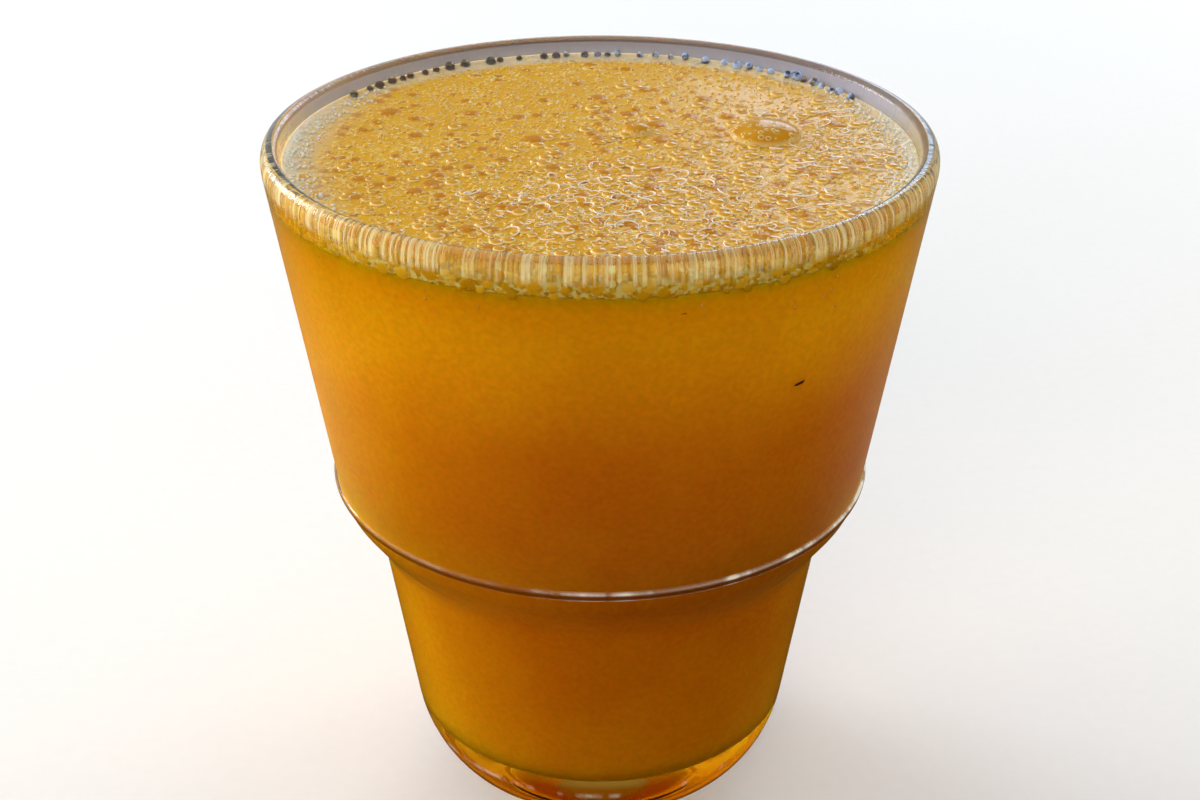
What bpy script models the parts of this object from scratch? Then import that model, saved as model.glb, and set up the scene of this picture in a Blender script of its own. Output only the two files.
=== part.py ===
"""A stepped stacking tumbler of pressed glass, filled with orange juice under a layer of froth.

Metres, +Z up, origin at the middle of the foot. Every profile is a list of (radius, height)
points that is turned about the Z axis.
"""

import math
import random

import bmesh
import bpy
from mathutils import Matrix, Vector

# The tumbler's outside
HEIGHT = 0.0900
RIM_RADIUS = 0.0407
SHOULDER = Vector((0.0338, 0.0436))
WAIST = Vector((0.0290, 0.0366))
FOOT_CORNER = Vector((0.0236, 0.0))
SHOULDER_ROUND = 0.0013
WAIST_ROUND = 0.0016
HEEL_RISE = 0.0115
HEEL_STEPS = 6
FLAT_RADIUS = 0.0160

# The shallow dome under the foot, inside the flat ring that the glass stands on
PUNT_RADIUS = 0.0120
PUNT_DEPTH = 0.0012
PUNT_STEPS = 3

# The tumbler's inside
RIM_INNER_RADIUS = 0.0383
LIP_DROP = 0.0013
INNER_SHOULDER = Vector((0.0312, 0.0462))
INNER_WAIST = Vector((0.0262, 0.0388))
FLOOR_CORNER = Vector((0.0225, 0.0080))
INNER_SHOULDER_ROUND = 0.0040
INNER_WAIST_ROUND = 0.0030
FLOOR_ROUND = 0.0036

# The drink
CLEARANCE = 0.0003
JUICE_LEVEL = 0.0851
FROTH_TOP = 0.0874

# The row of small bubbles along the glass, their middles this far below the froth's top. Sides
# and rings are those of each ball.
BEAD_RADIUS = 0.00083
BEAD_HEIGHT = 0.0012
BEAD_DROP = 0.0006
BEAD_PITCH = 0.0021
BEAD_SIDES, BEAD_RINGS = 6, 3

# The large bubbles that stand out of the froth
BIG_BUBBLES = (
    # x, y, radius where it meets the froth, height above it
    (0.0204, 0.0050, 0.0044, 0.0017),
    (0.0046, 0.0062, 0.0019, 0.0011),
)
BIG_SIDES, BIG_RINGS = 16, 8

# The scattered bubbles, each showing this share of its radius above the froth. They crowd
# towards the coarse side, and this share of the draws is kept even at the side across from it.
BUBBLE_COUNT = 84
BUBBLE_RADII = (0.0008, 0.0014)
COARSE_SIDE = Vector((0.45, -0.89))
FINE_SHARE = 0.2
BUBBLE_SHOWS = 0.42
BUBBLE_GAP = 0.0003
BUBBLE_WALL_GAP = 0.0033
BUBBLE_TRIES = 400
BUBBLE_SEED = 7
BUBBLE_SIDES, BUBBLE_RINGS = 6, 4

# How far any bubble reaches down into the froth
BUBBLE_SINK = 0.0014

SEGMENTS = 64
ROUND_STEPS = 3
CIRCLE_HANDLE = 0.5523
SHARP_FROM = math.radians(35)

# Name, colour, roughness and transmission of each material
GLASS_LOOK = ("clear_glass", (0.93, 0.95, 0.95), 0.03, 1.0)
JUICE_LOOK = ("orange_juice", (0.72, 0.30, 0.01), 0.12, 0.0)
FROTH_LOOK = ("juice_froth", (0.82, 0.52, 0.10), 0.35, 0.0)


def soft_corner(start, corner, end, steps=ROUND_STEPS):
    """Points of a bend like a quarter ellipse, from start to end, along both sides of the corner."""
    first = start.lerp(corner, CIRCLE_HANDLE)
    second = end.lerp(corner, CIRCLE_HANDLE)
    points = []
    for step in range(steps + 1):
        t = step / steps
        u = 1 - t
        points.append(start * u**3 + first * 3 * u * u * t + second * 3 * u * t * t + end * t**3)
    return points


def rounded(before, corner, after, reach):
    """The bend at a corner, starting and ending the given reach away from it."""
    start = corner + (before - corner).normalized() * reach
    end = corner + (after - corner).normalized() * reach
    return soft_corner(start, corner, end)


def punt():
    """From the top of the dome under the foot down to its edge."""
    points = []
    for step in range(PUNT_STEPS + 1):
        share = step / PUNT_STEPS
        points.append(Vector((PUNT_RADIUS * share, PUNT_DEPTH * math.cos(share * math.pi / 2))))
    points[-1].y = 0.0
    return points


def outer_profile():
    """From the dome under the foot, round the heel and up to the lip's crest."""
    side = (FOOT_CORNER - WAIST).normalized()
    heel_start = FOOT_CORNER - side * (HEEL_RISE / -side.y)
    heel = soft_corner(heel_start, FOOT_CORNER, Vector((FLAT_RADIUS, 0.0)), HEEL_STEPS)
    rim = Vector((RIM_RADIUS, HEIGHT))
    lip_start = rim + (SHOULDER - rim).normalized() * LIP_DROP
    return [
        *punt(),
        *reversed(heel),
        *rounded(FOOT_CORNER, WAIST, SHOULDER, WAIST_ROUND),
        *rounded(WAIST, SHOULDER, rim, SHOULDER_ROUND),
        *soft_corner(lip_start, rim, lip_crest()),
    ]


def lip_crest():
    """The highest point of the lip, halfway through its thickness."""
    return Vector(((RIM_RADIUS + RIM_INNER_RADIUS) / 2, HEIGHT))


def inner_corners():
    """The inside's own corners, from the lip down to the floor."""
    return Vector((RIM_INNER_RADIUS, HEIGHT)), INNER_SHOULDER, INNER_WAIST, FLOOR_CORNER


def inner_profile():
    """From just past the lip's crest down the inside to the middle of the floor."""
    rim, shoulder, waist, floor = inner_corners()
    centre = Vector((0.0, floor.y))
    lip_end = rim + (shoulder - rim).normalized() * LIP_DROP
    return [
        *soft_corner(lip_crest(), rim, lip_end)[1:],
        *rounded(rim, shoulder, waist, INNER_SHOULDER_ROUND),
        *rounded(shoulder, waist, floor, INNER_WAIST_ROUND),
        *rounded(waist, floor, centre, FLOOR_ROUND),
        centre,
    ]


def inner_radius(height):
    """The inside's radius at a height on the straight wall between the shoulder and the lip."""
    rim, shoulder, _, _ = inner_corners()
    share = (height - shoulder.y) / (rim.y - shoulder.y)
    return shoulder.x + (rim.x - shoulder.x) * share


def juice_profile():
    """From the middle of the floor up the inside wall, kept clear of it, to the juice's level."""
    wall = [p for p in inner_profile() if p.y < INNER_SHOULDER.y + INNER_SHOULDER_ROUND]
    inset = []
    for point in reversed(wall):
        radius = max(point.x - CLEARANCE, 0.0)
        inset.append(Vector((radius, point.y + CLEARANCE)))
    edge = Vector((inner_radius(JUICE_LEVEL) - CLEARANCE, JUICE_LEVEL))
    return [*inset, edge, Vector((0.0, JUICE_LEVEL))]


def turned(name, profile):
    """A closed solid made by turning a profile that starts and ends on the axis."""
    mesh = bpy.data.meshes.new(name)
    shape = bmesh.new()
    points = [shape.verts.new((p.x, 0.0, p.y)) for p in profile]
    edges = [shape.edges.new(pair) for pair in zip(points, points[1:])]
    bmesh.ops.spin(
        shape,
        geom=points + edges,
        cent=(0, 0, 0),
        axis=(0, 0, 1),
        angle=math.tau,
        steps=SEGMENTS,
        use_merge=True,
    )
    bmesh.ops.remove_doubles(shape, verts=shape.verts, dist=1e-6)
    bmesh.ops.recalc_face_normals(shape, faces=shape.faces)
    shape.to_mesh(mesh)
    shape.free()
    mesh.shade_smooth()
    mesh.set_sharp_from_angle(angle=SHARP_FROM)
    piece = bpy.data.objects.new(name, mesh)
    bpy.context.scene.collection.objects.link(piece)
    return piece


def bubble(collection, name, place, radius, height, sides, rings, heading=0.0):
    """A low ball for the union, flattened to the given height and cut off flat inside the froth."""
    mesh = bpy.data.meshes.new(name)
    shape = bmesh.new()
    bmesh.ops.create_uvsphere(shape, u_segments=sides, v_segments=rings, radius=1.0)
    bmesh.ops.rotate(shape, verts=shape.verts, matrix=Matrix.Rotation(heading, 3, "Z"))
    bmesh.ops.scale(shape, verts=shape.verts, vec=(radius, radius, height))
    for vertex in shape.verts:
        vertex.co.z = max(vertex.co.z, -BUBBLE_SINK)
    shape.to_mesh(mesh)
    shape.free()
    ball = bpy.data.objects.new(name, mesh)
    ball.location = place
    collection.objects.link(ball)


def bead_ring(collection):
    """The row of small bubbles that the froth leans against the glass."""
    middle = FROTH_TOP - BEAD_DROP
    path = inner_radius(middle) - CLEARANCE - BEAD_RADIUS
    count = round(math.tau * path / BEAD_PITCH)
    for index in range(count):
        angle = math.tau * index / count
        place = Vector((path * math.cos(angle), path * math.sin(angle), middle))
        name = f"bead_{index}"
        bubble(collection, name, place, BEAD_RADIUS, BEAD_HEIGHT, BEAD_SIDES, BEAD_RINGS, angle)


def scattered_places():
    """Places and radii of the scattered bubbles, largest first, none touching another."""
    draw = random.Random(BUBBLE_SEED)
    small, large = BUBBLE_RADII
    reach = inner_radius(FROTH_TOP) - BUBBLE_WALL_GAP
    taken = [(Vector((x, y)), radius) for x, y, radius, _ in BIG_BUBBLES]
    for index in range(BUBBLE_COUNT):
        radius = large + (small - large) * math.sqrt(index / BUBBLE_COUNT)
        for _ in range(BUBBLE_TRIES):
            angle = draw.uniform(0, math.tau)
            out = (reach - radius) * math.sqrt(draw.random())
            place = Vector((out * math.cos(angle), out * math.sin(angle)))
            coarse = (1 + place.dot(COARSE_SIDE) / reach) / 2
            if draw.random() > FINE_SHARE + (1 - FINE_SHARE) * coarse:
                continue
            if all((place - p).length > radius + r + BUBBLE_GAP for p, r in taken):
                taken.append((place, radius))
                break
    return taken[len(BIG_BUBBLES) :]


def froth_bubbles():
    """All the bubbles of the froth, in one collection that the Boolean reads."""
    collection = bpy.data.collections.new("froth_bubbles")
    bpy.context.scene.collection.children.link(collection)
    bead_ring(collection)
    for index, (x, y, radius, height) in enumerate(BIG_BUBBLES):
        place = Vector((x, y, FROTH_TOP))
        bubble(collection, f"big_{index}", place, radius, height, BIG_SIDES, BIG_RINGS)
    for index, (middle, radius) in enumerate(scattered_places()):
        place = Vector((middle.x, middle.y, FROTH_TOP))
        height = radius * BUBBLE_SHOWS
        bubble(collection, f"bubble_{index}", place, radius, height, BUBBLE_SIDES, BUBBLE_RINGS)
    return collection


def froth():
    """A thin disc on the juice, with the bubbles fused on."""
    low = JUICE_LEVEL + CLEARANCE
    core_radius = inner_radius(low) - CLEARANCE - BEAD_RADIUS
    corners = [(0.0, low), (core_radius, low), (core_radius, FROTH_TOP), (0.0, FROTH_TOP)]
    piece = turned("froth", [Vector(corner) for corner in corners])
    collection = froth_bubbles()
    union = piece.modifiers.new("bubbles", "BOOLEAN")
    union.operation = "UNION"
    union.operand_type = "COLLECTION"
    union.collection = collection
    union.solver = "MANIFOLD"
    graph = bpy.context.evaluated_depsgraph_get()
    joined = bpy.data.meshes.new_from_object(piece.evaluated_get(graph), depsgraph=graph)
    piece.modifiers.clear()
    piece.data = joined
    for ball in list(collection.objects):
        bpy.data.objects.remove(ball)
    bpy.data.collections.remove(collection)
    return piece


def coloured(piece, name, colour, roughness, transmission):
    """Gives the piece its material."""
    material = bpy.data.materials.new(name)
    material.use_nodes = True
    shader = material.node_tree.nodes["Principled BSDF"]
    shader.inputs["Base Color"].default_value = (*colour, 1.0)
    shader.inputs["Roughness"].default_value = roughness
    shader.inputs["Metallic"].default_value = 0.0
    shader.inputs["Transmission Weight"].default_value = transmission
    piece.data.materials.clear()
    piece.data.materials.append(material)


def main():
    for old in list(bpy.data.objects):
        bpy.data.objects.remove(old)
    coloured(turned("tumbler", outer_profile() + inner_profile()), *GLASS_LOOK)
    coloured(turned("juice", juice_profile()), *JUICE_LOOK)
    coloured(froth(), *FROTH_LOOK)


main()
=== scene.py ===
"""The looks of a glass of orange juice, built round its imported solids.

The file is laid out as an add-on and run as a script. Each operator makes one piece, or one group
of like pieces, in metres with +Z up and the origin at the middle of the foot.
"""

import math
import random

import bmesh
import bpy
import numpy as np
from bpy.props import FloatProperty, FloatVectorProperty, IntProperty, PointerProperty
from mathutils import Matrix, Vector
from mathutils.kdtree import KDTree


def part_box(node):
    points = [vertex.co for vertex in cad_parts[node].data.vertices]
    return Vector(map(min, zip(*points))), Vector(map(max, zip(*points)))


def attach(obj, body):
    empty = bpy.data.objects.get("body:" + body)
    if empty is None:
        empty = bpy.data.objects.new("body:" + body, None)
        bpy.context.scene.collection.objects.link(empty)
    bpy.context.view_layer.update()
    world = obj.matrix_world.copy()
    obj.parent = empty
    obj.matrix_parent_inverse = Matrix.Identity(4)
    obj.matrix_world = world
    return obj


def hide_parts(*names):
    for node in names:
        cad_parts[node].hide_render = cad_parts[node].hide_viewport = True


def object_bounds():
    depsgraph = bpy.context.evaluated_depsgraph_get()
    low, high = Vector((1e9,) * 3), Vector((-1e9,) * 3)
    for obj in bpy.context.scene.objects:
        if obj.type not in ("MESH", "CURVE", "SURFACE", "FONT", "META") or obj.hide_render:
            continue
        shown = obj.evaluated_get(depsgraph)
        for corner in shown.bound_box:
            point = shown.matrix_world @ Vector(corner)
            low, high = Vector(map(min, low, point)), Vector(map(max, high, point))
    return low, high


bl_info = {
    "name": "Glass of orange juice",
    "version": (1, 0, 0),
    "blender": (4, 5, 0),
    "location": "View3D > Sidebar > Juice",
    "description": "Makes a stacking tumbler of orange juice with its froth, and a stage for it",
    "category": "Object",
}

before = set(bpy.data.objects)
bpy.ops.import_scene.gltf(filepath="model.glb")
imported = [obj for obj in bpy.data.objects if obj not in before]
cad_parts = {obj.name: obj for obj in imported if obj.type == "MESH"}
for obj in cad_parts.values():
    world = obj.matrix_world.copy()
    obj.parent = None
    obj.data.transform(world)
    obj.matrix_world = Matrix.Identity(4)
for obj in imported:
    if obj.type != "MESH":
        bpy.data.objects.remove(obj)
CAD_LOW, CAD_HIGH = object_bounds()
JUICE_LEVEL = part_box("juice")[1].z

MM = 0.001
BODY = "root"
CIRCLE_HANDLE = 0.5523
CORNER_STEPS = 8
GLASS_SIDES = 256

# How far the juice and the froth reach into the wall, so that no air shows between them
INTO_WALL = 0.15 * MM


# Stops across the seam: its painted shade as a tint, with how strong it is as alpha, and its painted
# highlights
SEAM_PAINTED_SHADE = (
    (0.00, (0.60, 0.50, 0.40, 0.0)),
    (0.12, (0.30, 0.22, 0.17, 0.8)),
    (0.50, (0.07, 0.045, 0.030, 0.97)),
    (0.85, (0.30, 0.22, 0.17, 0.8)),
    (1.00, (0.60, 0.50, 0.40, 0.0)),
)
SEAM_PAINTED_HIGHLIGHTS = (
    (0.00, (0.0, 0.0, 0.0, 1.0)),
    (0.12, (1.0, 1.0, 1.0, 1.0)),
    (0.32, (0.03, 0.03, 0.03, 1.0)),
    (0.66, (0.0, 0.0, 0.0, 1.0)),
    (0.84, (1.0, 1.0, 1.0, 1.0)),
    (1.00, (0.0, 0.0, 0.0, 1.0)),
)


def linear(code):
    """An sRGB hex colour as linear red, green, blue and alpha."""
    channels = [int(code[start : start + 2], 16) / 255 for start in (0, 2, 4)]
    curve = [c / 12.92 if c <= 0.04045 else ((c + 0.055) / 1.055) ** 2.4 for c in channels]
    return (*curve, 1.0)


def add(tree, kind, inputs=(), stops=(), **settings):
    """Adds a node with its settings. A kind without a prefix is a ShaderNode's. Its inputs go by name,
    or in order: a MapRange takes its value, the range's two ends, and what they become, and a Mix its
    factor, A and B. An input is a value, the output that links to it, or a node, whose first output
    does."""
    node = tree.nodes.new(kind if "Node" in kind else f"ShaderNode{kind}")
    for name, value in settings.items():
        setattr(node, name, value)
    if isinstance(inputs, dict):
        pairs = [(node.inputs[name], value) for name, value in inputs.items()]
    else:
        pairs = zip([socket for socket in node.inputs if socket.enabled], inputs)
    for socket, value in pairs:
        if isinstance(value, bpy.types.Node):
            value = next(output for output in value.outputs if output.enabled)
        if isinstance(value, bpy.types.NodeSocket):
            tree.links.new(value, socket)
        else:
            socket.default_value = value
    for index, (place, colour) in enumerate(stops):
        if index < 2:
            stop = node.color_ramp.elements[index]
            stop.position = place
        else:
            stop = node.color_ramp.elements.new(place)
        stop.color = colour
    return node


def new_material(name):
    """An empty material and its tree."""
    material = bpy.data.materials.new(name)
    material.use_nodes = True
    material.node_tree.nodes.clear()
    return material, material.node_tree


def bend(start, corner, end, steps=CORNER_STEPS):
    """Points of a bend like a quarter ellipse, from start to end, along both sides of the corner."""
    first = start.lerp(corner, CIRCLE_HANDLE)
    second = end.lerp(corner, CIRCLE_HANDLE)
    points = []
    for step in range(steps + 1):
        t = step / steps
        u = 1 - t
        points.append(start * u**3 + first * 3 * u * u * t + second * 3 * u * t * t + end * t**3)
    return points


def rounded(before, corner, after, reach):
    """The bend at a corner, starting and ending the given reach away from it."""
    start = corner + (before - corner).normalized() * reach
    end = corner + (after - corner).normalized() * reach
    return bend(start, corner, end)


def outside(sizes):
    """The outside from the dome under the foot, round the heel and up to the lip's crest."""
    foot, waist, shoulder = Vector(sizes.foot), Vector(sizes.waist), Vector(sizes.shoulder)
    rim = Vector((sizes.rim_radius, CAD_HIGH.z))
    side = (foot - waist).normalized()
    heel_start = foot - side * (sizes.heel_rise / -side.y)
    heel = bend(heel_start, foot, Vector((sizes.flat_radius, 0.0)), 2 * CORNER_STEPS)
    lip_start = rim + (shoulder - rim).normalized() * sizes.lip_outer_drop
    punt = []
    for step in range(CORNER_STEPS):
        share = step / CORNER_STEPS
        height = sizes.punt_depth * math.cos(share * math.pi / 2)
        punt.append(Vector((sizes.punt_radius * share, height)))
    return [
        *punt,
        Vector((sizes.punt_radius, 0.0)),
        *reversed(heel),
        *rounded(foot, waist, shoulder, sizes.waist_round),
        *rounded(waist, shoulder, rim, sizes.shoulder_round),
        *ridge(sizes, shoulder, rim),
        *bend(lip_start, rim, lip_crest(sizes)),
    ]


def ridge(sizes, shoulder, rim):
    """The fine ridge just over the shoulder, where the two halves of the mould met."""
    up = (rim - shoulder).normalized()
    out = Vector((up.y, -up.x))
    start = shoulder + up * (sizes.shoulder_round + 0.1 * MM)
    points = []
    for step in range(13):
        share = step / 12
        bulge = math.sqrt(max(0.0, 1 - (2 * share - 1) ** 2))
        points.append(start + up * (sizes.ridge_width * share) + out * (sizes.ridge_height * bulge))
    return points


def lip_crest(sizes):
    """The highest point of the lip."""
    return Vector((sizes.crest_radius, CAD_HIGH.z))


def inside(sizes):
    """The inside from just past the lip's crest down to the middle of the floor."""
    rim = Vector((sizes.rim_inner_radius, CAD_HIGH.z))
    shoulder, waist = Vector(sizes.inner_shoulder), Vector(sizes.inner_waist)
    floor = Vector(sizes.inner_floor)
    centre = Vector((0.0, floor.y - sizes.floor_dip))
    lip_end = rim + (shoulder - rim).normalized() * sizes.lip_drop
    return [
        *bend(lip_crest(sizes), rim, lip_end)[1:],
        *rounded(rim, shoulder, waist, sizes.inner_shoulder_round),
        *rounded(shoulder, waist, floor, sizes.inner_waist_round),
        *rounded(waist, floor, centre, sizes.floor_round),
        centre,
    ]


def wall_radius(sizes, height):
    """The inside's radius at a height, or at many, on the straight wall below the lip."""
    low_radius, low = sizes.inner_shoulder
    share = (height - low) / (CAD_HIGH.z - low)
    return low_radius + (sizes.rim_inner_radius - low_radius) * share


def linked(name, mesh, material):
    """A piece with this mesh and material, in the scene."""
    mesh.materials.clear()
    mesh.materials.append(material)
    piece = bpy.data.objects.new(name, mesh)
    bpy.context.scene.collection.objects.link(piece)
    return piece


def turned(name, profile, sides, material):
    """A smooth closed piece made by turning a profile that starts and ends on the axis."""
    mesh = bpy.data.meshes.new(name)
    shape = bmesh.new()
    points = [shape.verts.new((p.x, 0.0, p.y)) for p in profile]
    edges = [shape.edges.new(pair) for pair in zip(points, points[1:])]
    bmesh.ops.spin(
        shape,
        geom=points + edges,
        cent=(0, 0, 0),
        axis=(0, 0, 1),
        angle=math.tau,
        steps=sides,
        use_merge=True,
    )
    bmesh.ops.remove_doubles(shape, verts=shape.verts, dist=1e-6)
    bmesh.ops.recalc_face_normals(shape, faces=shape.faces)
    shape.to_mesh(mesh)
    shape.free()
    mesh.shade_smooth()
    return linked(name, mesh, material)


def glass_material():
    """Soda-lime glass, pressed and fire polished: clear, and faintly wavy from the mould. Its colour
    carries painted shade, highlights and a reflection, and the juice seen through the foot and lip.
    """
    look = bpy.context.scene.juice_glass
    material, tree = new_material("pressed_soda_lime_glass")
    place = add(tree, "TexCoord").outputs["Object"]
    waves = add(tree, "TexNoise", {"Vector": place, "Scale": 1 / (9 * MM), "Detail": 1.0})
    # Fine upright streaks in the lip, from drawing it out in the flame
    x, y, z = add(tree, "SeparateXYZ", (place,)).outputs
    level = add(tree, "CombineXYZ", (x, y))
    round_lip = add(tree, "VectorMath", (level,), operation="NORMALIZE")
    streaks = add(tree, "TexNoise", {"Vector": round_lip, "Scale": CAD_HIGH.x / (0.45 * MM), "Detail": 2.0})
    near_lip = add(
        tree, "MapRange", (z, CAD_HIGH.z - 4.0 * MM, CAD_HIGH.z - 2.5 * MM, 0.0, look.streak_depth)
    )
    fine = add(tree, "Math", (streaks, near_lip), operation="MULTIPLY")
    broad = add(tree, "Math", (waves, 0.06 * MM), operation="MULTIPLY")
    height = add(tree, "Math", (fine, broad), operation="ADD")
    bump = add(tree, "Bump", {"Height": height, "Strength": 1.0, "Distance": 1.0})
    smears = add(tree, "TexNoise", {"Vector": place, "Scale": 1 / (14 * MM), "Detail": 4.0})
    rough = add(tree, "MapRange", (smears, 0.45, 0.8, 0.0, 0.06))
    # The seam round the shoulder: painted shade, dark in the middle, and painted white highlights near its
    # edges
    seam = add(tree, "MapRange", (z, look.shoulder[1] + 1.2 * MM, look.shoulder[1] + 2.7 * MM))
    ring = add(tree, "ValToRGB", (seam,), SEAM_PAINTED_SHADE)
    # Painted refraction: the thick foot is tinted with the juice's colour, as the juice seen through it
    foot = add(tree, "MapRange", (z, 10.5 * MM, 8.5 * MM))
    body = add(tree, "Mix", (foot, look.glass_colour, look.foot_painted_juice_colour), data_type="RGBA")
    # The painted juice colour is deepest in its middle, which is seen through the most glass
    low = add(tree, "MapRange", (z, 11.0 * MM, 9.5 * MM))
    aside = add(tree, "Math", (x,), operation="ABSOLUTE")
    middle = add(tree, "MapRange", (aside, 14 * MM, 8 * MM))
    painted_deepest_juice = add(tree, "Math", (low, middle), operation="MULTIPLY")
    body = add(tree, "Mix", (painted_deepest_juice, body, look.sole_painted_juice_colour), data_type="RGBA")
    tint_and_painted_light = add(tree, "Mix", (ring.outputs["Alpha"], body, ring.outputs["Color"]), data_type="RGBA")
    highlight_breakup = add(tree, "TexNoise", {"Vector": round_lip, "Scale": CAD_HIGH.x / (5 * MM), "Detail": 4.0})
    highlight_patches = add(tree, "MapRange", (highlight_breakup, 0.44, 0.64, 0.15, 1.0))
    seam_highlights = add(tree, "ValToRGB", (seam,), SEAM_PAINTED_HIGHLIGHTS)
    # The painted highlights are strongest at the right, and weakest at the left
    side = add(tree, "MapRange", (x, -12 * MM, 18 * MM, 0.2, 2.4))
    painted_light_share = add(tree, "Math", (seam_highlights.outputs["Color"], highlight_patches), operation="MULTIPLY")
    painted_light_share = add(tree, "Math", (painted_light_share, side), operation="MULTIPLY")
    # Painted refraction of the froth seen through the lip, on its front only: cream streaks where the waves
    # are thick, and brown between
    lip = add(tree, "MapRange", (z, CAD_HIGH.z - 2.9 * MM, CAD_HIGH.z - 2.1 * MM))
    painted_cream_streaks = add(tree, "MapRange", (streaks, 0.47, 0.64, 0.04, 0.60))
    painted_cream_streaks = add(tree, "Math", (painted_cream_streaks, lip), operation="MULTIPLY")
    front = add(tree, "MapRange", (y, 12 * MM, -12 * MM, 0.0))
    painted_cream_streaks = add(tree, "Math", (painted_cream_streaks, front), operation="MULTIPLY")
    # At the back a thin lilac haze: a painted reflection of the window
    painted_back_reflection = add(tree, "MapRange", (front, 1.0, 0.0, 0.0, 0.50))
    painted_back_reflection = add(tree, "Math", (painted_back_reflection, lip), operation="MULTIPLY")
    painted_cream_streaks = add(tree, "Math", (painted_cream_streaks, painted_back_reflection), operation="MAXIMUM")
    painted_light_share = add(tree, "Math", (painted_light_share, painted_cream_streaks), operation="MAXIMUM")
    # A painted dark line of shade where the lip turns inwards
    reach = add(tree, "VectorMath", (level,), operation="LENGTH")
    inner = add(tree, "MapRange", (reach, look.crest_radius + 0.05 * MM, look.crest_radius - 0.10 * MM))
    crest = add(tree, "MapRange", (z, CAD_HIGH.z - 0.7 * MM, CAD_HIGH.z - 0.5 * MM))
    painted_dark_line = add(tree, "Math", (inner, crest), operation="MULTIPLY")
    painted_dark_line = add(tree, "Math", (painted_dark_line, 0.85), operation="MULTIPLY")
    tint_and_painted_light = add(tree, "Mix", (painted_dark_line, tint_and_painted_light, linear("4A3C3A")), data_type="RGBA")
    bare = add(tree, "Math", (1.0, painted_dark_line), operation="SUBTRACT")
    painted_light_share = add(tree, "Math", (painted_light_share, bare), operation="MULTIPLY")
    # Painted highlights: faint pale arcs low on the foot
    off = add(tree, "Math", (z, 8.2 * MM), operation="SUBTRACT")
    off = add(tree, "Math", (off,), operation="ABSOLUTE")
    arc = add(tree, "MapRange", (off, 0.1 * MM, 0.7 * MM, 0.3, 0.0))
    patchy = add(tree, "MapRange", (highlight_breakup, 0.5, 0.6))
    arc = add(tree, "Math", (arc, patchy), operation="MULTIPLY")
    painted_light_share = add(tree, "Math", (painted_light_share, arc), operation="MAXIMUM")
    # Painted refraction: brown between the streaks, on the front of the lip
    painted_brown_streaks = add(tree, "MapRange", (streaks, 0.48, 0.34, 0.0, 0.55))
    painted_brown_streaks = add(tree, "Math", (painted_brown_streaks, lip), operation="MULTIPLY")
    painted_brown_streaks = add(tree, "Math", (painted_brown_streaks, front), operation="MULTIPLY")
    tint_and_painted_light = add(tree, "Mix", (painted_brown_streaks, tint_and_painted_light, linear("705A22")), data_type="RGBA")
    clear = add(
        tree,
        "BsdfPrincipled",
        {"Base Color": tint_and_painted_light, "Roughness": rough, "IOR": 1.52, "Transmission Weight": 1.0, "Normal": bump},
    )
    # The colour of the painted highlights, streaks and reflection: cream in front, lilac at the back, and
    # near white on the lip
    painted_light_colour = add(tree, "Mix", (front, linear("AEB4D2"), linear("EEE6B4")), data_type="RGBA")
    painted_light_colour = add(tree, "Mix", (lip, linear("F2EEE2"), painted_light_colour), data_type="RGBA")
    painted_light_surface = add(tree, "BsdfPrincipled", {"Base Color": painted_light_colour, "Roughness": 0.5, "IOR": 1.52})
    surface = add(tree, "MixShader", (painted_light_share, clear, painted_light_surface))
    add(tree, "OutputMaterial", (surface,))
    return material


# Painted glow: how strongly light shows through the juice, from its left side to its right, drawn into its
# colour
PAINTED_SIDE_GLOW = (
    (0.00, (0.95, 0.95, 0.95, 1.0)),
    (0.06, (0.85, 0.85, 0.85, 1.0)),
    (0.20, (0.28, 0.28, 0.28, 1.0)),
    (0.36, (0.07, 0.07, 0.07, 1.0)),
    (0.50, (0.0, 0.0, 0.0, 1.0)),
    (0.90, (0.0, 0.0, 0.0, 1.0)),
    (1.00, (0.25, 0.25, 0.25, 1.0)),
)


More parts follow.
